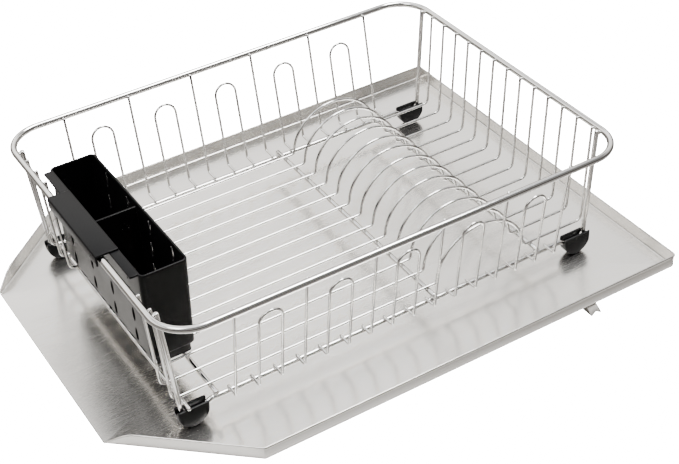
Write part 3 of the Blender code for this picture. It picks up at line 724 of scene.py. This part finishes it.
def tray_outline():
    """Points round the inner faces of the tray's walls, each with its outward direction."""
    low, high = level_box("tray_pan")
    inner = HEM + 0.1 * MM
    left, right = low[0] + SPOUT_INSET, high[0] - inner
    half = (high[1] - low[1]) / 2 - inner
    spout = SPOUT_WIDTH / 2 - inner
    cut = low[0] + CUT_CORNER
    middle = (low[1] + high[1]) / 2
    corners = np.array([(left, middle + spout), (left, middle - spout), (cut, middle - half),
                        (right, middle - half), (right, middle + half), (cut, middle + half)])
    points, outward = [], []
    for before, corner, after in zip(np.roll(corners, 1, 0), corners, np.roll(corners, -1, 0)):
        run = np.linalg.norm(after - corner)
        d1, d2 = unit(corner - before), unit(after - corner)
        n1, n2 = np.array([d1[1], -d1[0]]), np.array([d2[1], -d2[0]])
        turn = math.acos(np.clip(n1 @ n2, -1, 1))
        centre = corner - (n1 + n2) / (1 + n1 @ n2) * CORNER_FOLD
        for t in np.arange(6) / 5:
            normal = (math.sin((1 - t) * turn) * n1 + math.sin(t * turn) * n2) / math.sin(turn)
            points.append(centre + normal * CORNER_FOLD)
            outward.append(normal)
        steps = max(2, int(run / (8 * MM)))
        for j in range(1, steps):
            points.append(corner + d2 * run * j / steps)
            outward.append(n2)
    return np.array(points), np.array(outward), low, high


def wall_rows():
    """The tray wall's profile from the floor's edge over the hem and back under the floor: how far out, how
    far up, the share of the wall's height that is added, and how strongly painted shade darkens the row.
    Share
    0 is the floor and its fold, share 1 the hem, and what lies between is the plain wall."""
    quarter = np.linspace(0, math.pi / 2, 6)
    # The last number of each row is painted shade: darker in the fold by the floor, along the wall, and in a
    # dark line under the hem
    rows = [(-FOLD + FOLD * math.sin(a), FOLD * (1 - math.cos(a)), 0.0, 0.2 + 1.3 * math.sin(a))
            for a in quarter]
    rows += [(0.0, FOLD, 0.12, 0.5), (0.0, FOLD, 0.4, 1.25), (0.0, FOLD, 0.7, 1.25)]
    rows += [(0.0, -HEM - 0.9 * MM, 1.0, 0.9), (0.0, -HEM - 0.4 * MM, 1.0, 3.0),
             (0.0, -HEM + 0.1 * MM, 1.0, 0.1)]
    rows += [(HEM / 2 * (1 + math.cos(a)), HEM / 2 * (math.sin(a) - 1), 1.0, 0.0)
             for a in np.linspace(math.pi, 0, 9)]
    rows += [(HEM, -HEM_DEPTH + 0.3 * MM, 1.0, 0.1), (HEM - 0.15 * MM, -HEM_DEPTH, 1.0, 0.9),
             (SHEET, -HEM_DEPTH - 0.05 * MM, 1.0, 4.0), (SHEET, -HEM_DEPTH - 1.8 * MM, 1.0, 3.0),
             (SHEET, -HEM_DEPTH - 2.3 * MM, 1.0, 0.3), (SHEET, FOLD, 0.55, 0.12), (SHEET, FOLD, 0.2, 0.0)]
    outer = FOLD + SHEET
    return rows + [(outer * math.sin(a) - FOLD, FOLD - outer * math.cos(a), 0.0, 0.0) for a in quarter[::-1]]


def spout_row(out, up, share, drop):
    """Where a row of the profile lies at the spout: the floor runs out, turns down by the lip's drop and
    comes back under."""
    if share == 0.0:
        return (out, 0.0) if up >= 0 else (min(out, -FOLD), -SHEET)
    if share == 1.0:
        along = np.clip(out / HEM, 0, 1)
        return -SHEET * along, -drop * along if along > 0 else -0.2 * MM
    return (0.0, 0.0) if out == 0.0 else (-SHEET, -SHEET - 0.1 * MM)


def build_tray():
    """The pan: the wall's profile is carried round the outline, and the floor's top and underside are rings
    that shrink to the middle. Beside the spout the wall's height falls to a low edge, and at the spout the
    profile turns down into a lip."""
    points, outward, low, high = tray_outline()
    floor = level_box("foot_cap_front_left")[0][2] - WELD_GAP
    wall = high[2] - floor
    at_spout = (np.abs(points[:, 0] - low[0]) < CORNER_FOLD * 1.05) & (outward[:, 0] < -0.8)
    upright = np.where(at_spout, np.clip((outward[:, 0] + 1) / 0.2, 0, 1), 1.0)
    from_spout = np.clip((points[:, 0] - low[0] - 1.2 * MM) / SPOUT_TAPER, 0, 1)
    rise = from_spout * (wall - SPOUT_EDGE) + SPOUT_EDGE
    rise = np.where(points[:, 0] > low[0] + SPOUT_TAPER + 2 * MM, wall, rise)
    rows = wall_rows()
    rings = []
    for out, up, share, _ in rows:
        if share == 1.0:
            z = rise + up * np.minimum(1, rise / wall)
        elif share > 0.0:
            z = up + (rise - up) * share
        else:
            z = up * (np.minimum(1, rise / (2.5 * FOLD)) if up > 0 else np.ones(len(rise)))
        lip_out, lip_z = spout_row(out, up, share, floor - low[2])
        reach = out * upright + lip_out * (1 - upright)
        z = z * upright + lip_z * (1 - upright)
        rings.append(np.column_stack([points + outward * reach[:, None], floor + z]))
    shares = [0.0, 0.12, 0.35, 0.6, 0.8, 1.0]
    middle, under_middle = np.array([MIDDLE_X, 0.0, floor]), np.array([MIDDLE_X, 0.0, rings[-1][0][2]])
    top = [middle + (rings[0] - middle) * share for share in shares[:-1]]
    under = [under_middle + (rings[-1] - under_middle) * share for share in shares[-2::-1]]
    shell = Shell()
    shell.grid(np.array(top + rings + under))
    plain = [0.0] * len(top)
    # Painted shade on the tray: each row's darkness from the profile, faded out where the wall is low beside
    # the spout
    tint = np.array(plain + [row[3] for row in rows] + plain)
    standing = np.clip(rise / wall * 1.5, 0, 1) * upright
    tray = shell.finish("drip tray", heat=(tint[:, None] * standing).reshape(-1))
    soften(tray, 50)
    dress(tray, tray_steel, "tray", ["tray_pan"])


def build_tray_feet():
    """Tapered tabs with a toe, cut from sheet and rounded along their edges."""
    for side in ("front", "back"):
        name = f"tray_foot_{side}"
        points = np.array([v.co for v in frame["nodes"][name].data.vertices], float) @ TIP
        low, high = level_box(name)
        face = points[np.abs(points[:, 1] - high[1]) < 0.1 * MM][:, [0, 2]]
        face = np.unique(np.round(face, 6), axis=0)
        centre = face.mean(0)
        order = np.argsort(np.arctan2(face[:, 1] - centre[1], face[:, 0] - centre[0]))
        shell = Shell()
        add_prism(shell, rounded_outline(face[order], 0.9 * MM, 4), 1, low[1], high[1], 0.5 * MM)
        foot = shell.finish(f"tray foot {side}", heat=np.zeros(shell.count))
        soften(foot)
        dress(foot, tray_steel, "tray", [name])


# ---- cutlery holder

CELL = 8                                # points along each side of a slot's cell


def cell_loop(low, high):
    """Points round a rectangle, CELL along each side, from the lower left corner."""
    (x0, y0), (x1, y1) = low, high
    t = np.linspace(0, 1, CELL + 1)[:-1]
    return np.concatenate([np.column_stack([x0 + (x1 - x0) * t, y0 + 0 * t]),
                           np.column_stack([x1 + 0 * t, y0 + (y1 - y0) * t]),
                           np.column_stack([x1 - (x1 - x0) * t, y1 + 0 * t]),
                           np.column_stack([x0 + 0 * t, y1 - (y1 - y0) * t])])


def pierced_cell(shell, low, high, centre, size, place):
    """One cell of a pierced wall: rings run from the rectangle to the ellipse on the outer face, through the
    thickness with rounded edges, and out to the rectangle again on the inner face. place(a, b, depth) puts a
    point of the wall, depth 0 to 1, in the rack."""
    edge = cell_loop(low, high)
    across, up = ((edge - centre) / (np.array(high) - np.array(low))).T
    aim = np.arctan2(up, across)
    hole = np.column_stack([centre[0] + size[0] / 2 * np.cos(aim), centre[1] + size[1] / 2 * np.sin(aim)])
    away = unit(hole - centre)
    soft = 0.35 * MM
    rings = [(edge, 0.0), (hole + (edge - hole) * 0.45, 0.0), (hole + away * 3 * soft, 0.0),
             (hole + away * soft, 0.0), (hole + away * soft * 0.3, 0.06), (hole, 0.2)]
    rings += [(ring, 1 - depth) for ring, depth in rings[::-1]]
    shell.grid(np.array([place(ring[:, 0], ring[:, 1], depth) for ring, depth in rings]))


class HolderShape:
    """Places and outlines that the holder's parts share. Heights are level: base, step and top."""

    def __init__(self):
        low, high = level_box("cutlery_holder")
        self.outer = MIDDLE_X - HOLDER_OUTER
        self.half, self.middle = (high[1] - low[1]) / 2, (high[1] + low[1]) / 2
        self.base = low[2]
        self.step, self.top = self.base + STEP_HEIGHT, FLOOR_Z + HOLDER_TOP
        self.row_mid = self.base + SLOT_FIRST_ROW + SLOT_ROW_PITCH * np.arange(SLOT_ROWS)
        between = (self.row_mid[1:] + self.row_mid[:-1]) / 2
        last = self.row_mid[-1] + SLOT_ROW_PITCH / 2 - 1.5 * MM
        self.row_edges = np.concatenate([[self.step + HOLDER_FLOOR], between, [last]])
        flat = self.half - HOLDER_CORNER
        self.column_edges = np.array([-flat, -SLOT_COLUMN_PITCH, 0, SLOT_COLUMN_PITCH, flat])
        self.long_run = self.stops(self.column_edges)
        self.short_run = np.linspace(-1, 1, 11)[1:-1]
        self.turn = np.linspace(0, math.pi / 2, 8)

    @staticmethod
    def stops(edges):
        """CELL even steps from each edge to the next."""
        steps = np.linspace(0, 1, CELL + 1)[:-1]
        return np.concatenate([a + (b - a) * steps for a, b in pairs(edges)] + [edges[-1:]])

    def lean(self, z):
        """How far the sides that lean have come in at a height."""
        return HOLDER_TAPER * np.clip((self.top - z) / (self.top - self.step), 0, 1)

    def wall_place(self, inner_side):
        """A long wall's own measure: a along it, b up it, depth 0 to 1 through it."""
        def place(a, b, depth):
            drawn, into = self.lean(b), HOLDER_WALL * depth
            x = self.outer + HOLDER_WIDTH - drawn - into if inner_side else self.outer + into
            return np.column_stack([x + 0 * a, self.middle + a * (self.half - drawn) / self.half, b])
        return place

    def plan(self, z, inset):
        """Points round the box at a height, drawn in by the inset: outer long wall, front end, inner long
        wall, back end. The inner long wall and both ends lean in with depth."""
        drawn = float(self.lean(z))
        radius = max(HOLDER_CORNER - inset, 0.3 * MM)
        x0, x1 = self.outer + inset + radius, self.outer + HOLDER_WIDTH - inset - radius
        y1 = self.half - inset - radius
        run = self.long_run * y1 / (self.half - HOLDER_CORNER)
        cos, sin = radius * np.cos(self.turn), radius * np.sin(self.turn)
        end_x = (x0 + x1) / 2 + self.short_run * (x1 - x0) / 2
        x = np.concatenate([0 * run + x0 - radius, (x0 - cos)[1:], end_x, x1 + sin,
                            0 * run[1:] + x1 + radius, (x1 + cos)[1:], end_x[::-1], (x0 - sin)[:-1]])
        y = np.concatenate([run[::-1], (-y1 - sin)[1:], 0 * end_x - y1 - radius, -y1 - cos,
                            run[1:], (y1 + sin)[1:], 0 * end_x + y1 + radius, (y1 + cos)[:-1]])
        x = x - drawn * np.clip((x - x0) / (x1 - x0), 0, 1)
        y = self.middle + y * (self.half - drawn) / self.half
        return np.column_stack([x, y, np.full(len(x), z)])

    def rings(self, shell, places):
        """A closed band through the plan's outlines at the (height, inset) places."""
        shell.grid(np.array([self.plan(z, inset) for z, inset in places]))


def add_holder_walls(shell, shape):
    """Slotted long walls cell by cell, the rounded ends between them, and the rounded rim on top."""
    columns = (np.arange(SLOT_COLUMNS) - (SLOT_COLUMNS - 1) / 2) * SLOT_COLUMN_PITCH
    for inner_side in (False, True):
        place = shape.wall_place(inner_side)
        for column, (a0, a1) in zip(columns, pairs(shape.column_edges)):
            for row, (b0, b1) in zip(shape.row_mid, pairs(shape.row_edges)):
                pierced_cell(shell, (a0, b0), (a1, b1), np.array([column, row]), SLOT_SIZE, place)
    long_count, end_count = len(shape.long_run), 2 * (len(shape.turn) - 1) + len(shape.short_run) + 1
    back_start = 2 * long_count + end_count - 2
    for inset in (0.0, HOLDER_WALL):
        skin = np.array([shape.plan(z, inset) for z in shape.stops(shape.row_edges)])
        shell.grid(skin[:, long_count - 1:long_count + end_count], wrap_columns=False)
        shell.grid(np.concatenate([skin[:, back_start:], skin[:, :1]], axis=1), wrap_columns=False)
    edge, shoulder = shape.row_edges[-1], shape.top - HOLDER_ROUND
    arc = [(shoulder + HOLDER_ROUND * math.sin(a), HOLDER_WALL / 2 - HOLDER_WALL / 2 * math.cos(a))
           for a in np.linspace(0, math.pi, 7)[1:-1]]
    shape.rings(shell, [(edge, 0.0), (shoulder, 0.0), *arc, (shoulder, HOLDER_WALL), (edge, HOLDER_WALL)])


def add_holder_base(shell, shape):
    """The stepped base outside and inside, both faces of its floor, and the drain holes through it."""
    base, step, edge = shape.base, shape.step, shape.row_edges[0]
    under, inside = STEP_INSET + 1.2 * MM, HOLDER_WALL + STEP_INSET
    shape.rings(shell, [(edge, 0.0), (step + 0.8 * MM, 0.0), (step + 0.25 * MM, 0.25 * MM), (step, 0.8 * MM),
                        (step, STEP_INSET - 0.6 * MM), (step - 0.2 * MM, STEP_INSET - 0.15 * MM),
                        (step - 0.7 * MM, STEP_INSET), (base + 1.2 * MM, STEP_INSET),
                        (base + 0.4 * MM, STEP_INSET + 0.35 * MM), (base, under)])
    shape.rings(shell, [(edge, HOLDER_WALL), (step + HOLDER_FLOOR * 0.55, HOLDER_WALL),
                        (step + HOLDER_FLOOR * 0.5, inside), (base + HOLDER_FLOOR + 1 * MM, inside),
                        (base + HOLDER_FLOOR, inside + 1 * MM)])
    angle = np.arange(4 * CELL) * TAU / (4 * CELL)
    circle = DRAIN_DIA / 2 * np.column_stack([np.cos(angle), np.sin(angle)])
    floor_mid = shape.outer + (HOLDER_WIDTH - HOLDER_TAPER) / 2
    holes = [circle + (floor_mid, shape.middle + k * DRAIN_PITCH) for k in DRAINS]
    faces = [(base, under), (base + HOLDER_FLOOR, inside + 1 * MM)]
    for z, inset in faces:
        add_floor(shell, shape.plan(z, inset), holes, z)
    for hole in holes:
        shell.grid(np.array([np.column_stack([hole, np.full(len(hole), z)]) for z, _ in faces]))


def add_floor(shell, loop, holes, z):
    """A flat floor at height z: triangles between the outline and the drain circles."""
    rings = [np.column_stack([ring[:, :2], np.full(len(ring), z)]) for ring in [loop] + holes]
    shell.add(np.concatenate(rings), tessellate_polygon([[Vector(p) for p in ring] for ring in rings]))


def build_holder():
    """A tapered box in two rooms, with slots, a stepped base, a lip along its outer side and a hook over the
    rim. The divider, the hook and the lip are rounded slabs whose ends lie inside the walls."""
    shape, shell = HolderShape(), Shell()
    add_holder_walls(shell, shape)
    add_holder_base(shell, shape)
    outer, middle, top, wall = shape.outer, shape.middle, shape.top, HOLDER_WALL
    floor, low_top = shape.base + HOLDER_FLOOR, top - DIVIDER_DROP
    left, right, edge = middle - wall / 2, middle + wall / 2, wall * 0.6
    divider = rounded_outline([(left, floor), (right, floor), (right, low_top), (left, low_top)], 0.6 * MM, 4)
    add_prism(shell, divider, 0, outer + edge, outer + HOLDER_WIDTH - HOLDER_TAPER - edge, 0.1 * MM)
    into = outer + wall * 0.8
    inside = RIM_DIA / 2 + HOOK_CLEARANCE
    under = RIM_Z + inside
    crown, tip = under + HOOK_WALL, RIM_Z - HOOK_DROP
    far = MIDDLE_X - RIM_HALF_X - inside - HOOK_WALL
    hook = rounded_outline([(into, crown), (far, crown), (far, tip), (far + HOOK_WALL, tip),
                            (far + HOOK_WALL, under), (outer - LIP_WIDTH + HOOK_WALL, under),
                            (into, under - 2.9 * MM)], np.array([0.8, 2.0, 0.8, 0.8, 0.9, 0.6, 0.5]) * MM, 5)
    add_prism(shell, hook, 1, middle - HOOK_LENGTH / 2, middle + HOOK_LENGTH / 2, 0.6 * MM)
    lip = rounded_outline([(outer - LIP_WIDTH, top - LIP_THICKNESS), (into, top - LIP_THICKNESS), (into, top),
                           (outer - LIP_WIDTH, top)], np.array([0.8, 0.3, 0.3, 0.8]) * MM, 4)
    reach = shape.half - HOLDER_CORNER
    add_prism(shell, lip, 1, middle - reach, middle + reach, 0.8 * MM)
    holder = shell.finish("cutlery holder")
    soften(holder, 45)
    dress(holder, holder_plastic, "cutlery_holder", ["cutlery_holder"])


# ---- studio

def build_studio():
    """White paper on a table, both seen as plain white, a sky that is dark low down and bright overhead, and
    two soft lamps."""
    mesh = bpy.data.meshes.new("studio floor")
    reach = 6.0
    corners = [(-reach, -reach, 0), (reach, -reach, 0), (reach, reach, 0), (-reach, reach, 0)]
    mesh.from_pydata(corners, [], [(0, 1, 2, 3)])
    floor = in_scene("studio floor", mesh)
    paint = bpy.data.materials.new("studio white")
    paint.use_nodes = True
    tree = paint.node_tree
    shader = tree.nodes["Principled BSDF"]
    place = node(tree, "ShaderNodeSeparateXYZ")
    tree.links.new(node(tree, "ShaderNodeTexCoord").outputs["Object"], place.inputs[0])
    past = [maths(tree, "SUBTRACT", maths(tree, "ABSOLUTE", place.outputs[axis]),
                  float(cad_high[axis]) + PAPER_EDGE) for axis in (0, 1)]
    past_edge = ranged(tree, maths(tree, "MAXIMUM", past[0], past[1]), -0.01, 0.01, 0.0, 1.0)
    feed(tree, shader.inputs["Base Color"], mixed(tree, past_edge, PAPER_TONE, TABLE_TONE))
    shader.inputs["Roughness"].default_value = 0.9
    shader.inputs["Emission Color"].default_value = (1, 1, 1, 1)
    seen = node(tree, "ShaderNodeLightPath").outputs["Is Camera Ray"]
    feed(tree, shader.inputs["Emission Strength"], maths(tree, "MULTIPLY", seen, FLOOR_GLOW))
    mesh.materials.append(paint)
    world = bpy.data.worlds.new("soft studio sky")
    bpy.context.scene.world = world
    world.use_nodes = True
    tree = world.node_tree
    background = tree.nodes["Background"]
    direction = node(tree, "ShaderNodeSeparateXYZ")
    tree.links.new(node(tree, "ShaderNodeTexCoord").outputs["Generated"], direction.inputs[0])
    ramp = node(tree, "ShaderNodeValToRGB")
    tree.links.new(direction.outputs["Z"], ramp.inputs[0])
    ramp.color_ramp.elements[0].position = SKY_BANDS[0][0]
    ramp.color_ramp.elements[1].position = SKY_BANDS[-1][0]
    for height, _ in SKY_BANDS[1:-1]:
        ramp.color_ramp.elements.new(height)
    for element, (_, colour) in zip(ramp.color_ramp.elements, SKY_BANDS):
        element.color = (*colour, 1)
    tree.links.new(ramp.outputs["Color"], background.inputs["Color"])
    behind = ranged(tree, direction.outputs["Y"], -0.5, 0.5, SKY_FRONT, SKY_BACK)
    aside = ranged(tree, direction.outputs["X"], 0.3, 0.56, 1.0, SKY_RIGHT)
    feed(tree, background.inputs["Strength"], maths(tree, "MULTIPLY", behind, aside))
    for name, place, power in LAMPS:
        lamp = bpy.data.lights.new(name, "AREA")
        lamp.size = LAMP_SIZE
        lamp.energy = power
        obj = in_scene(name, lamp)
        obj.location = place
        obj.rotation_euler = Matrix(look_matrix(np.array(place))).to_euler()


def look_matrix(back, roll=0.0):
    """Rows of a turn whose columns point to the right, up and back from the subject."""
    back = unit(back)
    right = unit(np.cross([0, 0, 1.0], back))
    up = np.cross(back, right)
    c, s = math.cos(roll), math.sin(roll)
    return np.column_stack([right * c + up * s, up * c - right * s, back]).tolist()


def build_camera():
    """A long lens, looking down on the rack from its front left."""
    data = bpy.data.cameras.new("camera")
    data.sensor_width = SENSOR
    data.lens = LENS
    data.clip_end = 50
    camera = in_scene("camera", data)
    camera.location = CAMERA_PLACE
    azimuth, elevation, roll = (math.radians(turn) for turn in CAMERA_TURN)
    back = np.array([math.sin(azimuth) * math.cos(elevation), -math.cos(azimuth) * math.cos(elevation),
                     math.sin(elevation)])
    camera.rotation_euler = Matrix(look_matrix(back, roll)).to_euler()
    bpy.context.scene.camera = camera


build_wires()
build_caps()
build_tray()
build_tray_feet()
build_holder()
build_studio()
build_camera()
